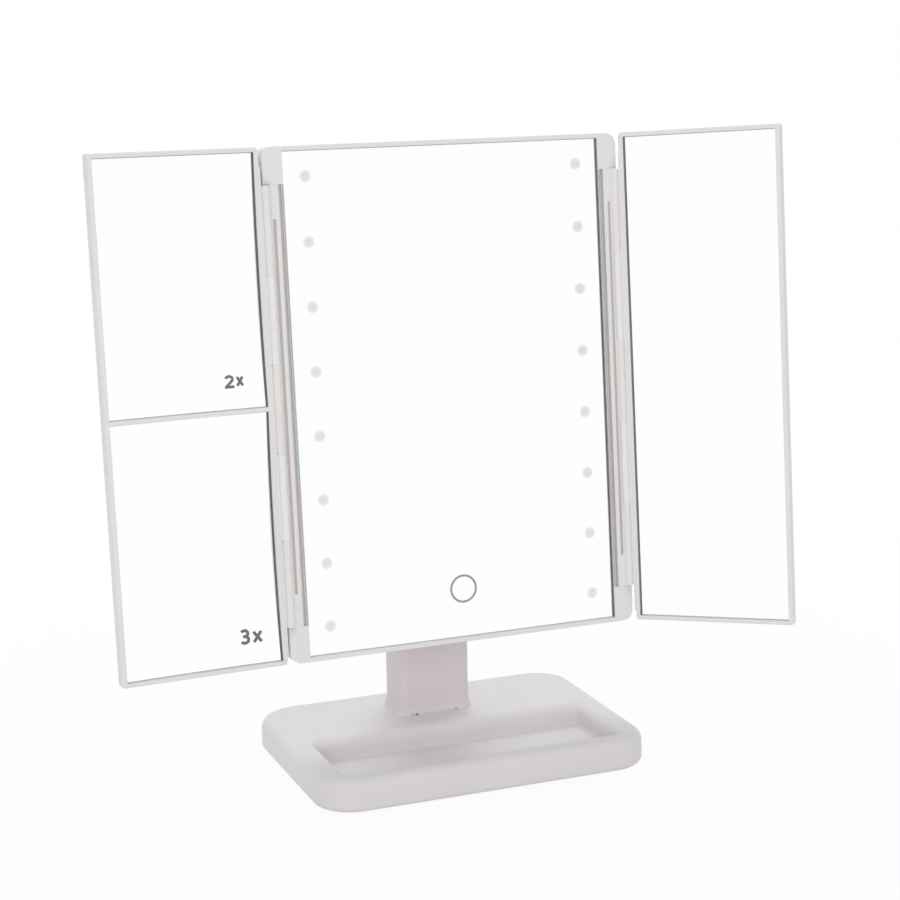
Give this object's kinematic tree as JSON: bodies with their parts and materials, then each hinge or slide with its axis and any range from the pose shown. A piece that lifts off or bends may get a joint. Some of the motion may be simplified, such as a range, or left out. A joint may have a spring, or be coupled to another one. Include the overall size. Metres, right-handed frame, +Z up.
{
  "type": "trifold vanity mirror",
  "caption": "Tabletop vanity mirror: lit centre panel with two folding side wings, one split into magnifying panes, on a tilting stem and a tray base",
  "frame": {"origin": "on the ground under the middle of the base", "axes": "+X to the right seen from the front, +Z up, the front of the mirror looks along -Y"},
  "size_m": [0.3065, 0.1366, 0.2963],
  "materials": {
    "white_plastic": "satin",
    "inner_plastic": "matte",
    "mirror_glass": "polished",
    "steel": "plated",
    "painted_steel": "satin",
    "iron": "matte",
    "rubber": "matte",
    "soft_insert": "matte",
    "foam_tape": "matte",
    "diffuser": "frosted",
    "board_white": "solder mask",
    "board_green": "solder mask",
    "chip_black": "moulded",
    "led_yellow": "phosphor",
    "cell_wrap": "printed wrap",
    "copper": "plated"
  },
  "bodies": {
    "base": {"base_shell": "white_plastic", "base_floor": "white_plastic", "base_pad": "rubber", "base_weight": "iron", "base_screws": "steel", "stem_post": "white_plastic", "stem_cover": "white_plastic", "stem_screws": "steel"},
    "centre": {"centre_frame": "white_plastic", "hinge_strips": "white_plastic", "groove_inserts": "soft_insert", "hinge_pins": "steel", "centre_glass": "mirror_glass", "glass_tape": "foam_tape", "light_windows": "diffuser", "led_boards": "board_white", "led_chips": "led_yellow", "touch_pad": "copper", "control_board": "board_green", "board_parts": "chip_black", "usb_socket": "steel", "back_cover": "white_plastic", "cover_screws": "steel", "battery_tray": "inner_plastic", "battery_contacts": "steel", "battery_cells": "cell_wrap", "tilt_bracket": "white_plastic", "bracket_screws": "steel", "tilt_bolt": "steel", "tilt_nut": "steel", "tilt_washers": "steel"},
    "door": {"battery_door": "white_plastic"},
    "left_wing": {"left_frame": "white_plastic", "left_back": "white_plastic", "left_glass_2x": "mirror_glass", "left_glass_3x": "mirror_glass", "left_tape": "foam_tape", "left_leaf": "painted_steel", "left_leaf_screws": "steel"},
    "right_wing": {"right_frame": "white_plastic", "right_back": "white_plastic", "right_glass": "mirror_glass", "right_tape": "foam_tape", "right_leaf": "painted_steel", "right_leaf_screws": "steel"}
  },
  "joints": [
    {"name": "tilt", "type": "hinge", "parent": "base", "child": "centre", "pos_m": [0, 0.012, 0.0965], "axis": [-1, 0, 0], "range_deg": [-15, 20]},
    {"name": "left_hinge", "type": "hinge", "parent": "centre", "child": "left_wing", "pos_m": [-0.0838, -0.01536, 0.17749], "axis": [0, 0.0872, 0.9962], "range_deg": [-3.6, 176.4]},
    {"name": "right_hinge", "type": "hinge", "parent": "centre", "child": "right_wing", "pos_m": [0.0838, -0.01536, 0.17749], "axis": [0, -0.0872, -0.9962], "range_deg": [-44.6, 135.4]},
    {"name": "door_slide", "type": "slide", "parent": "centre", "child": "door", "axis": [0, 0.0872, 0.9962], "range_m": [0, 0.03]}
  ]
}
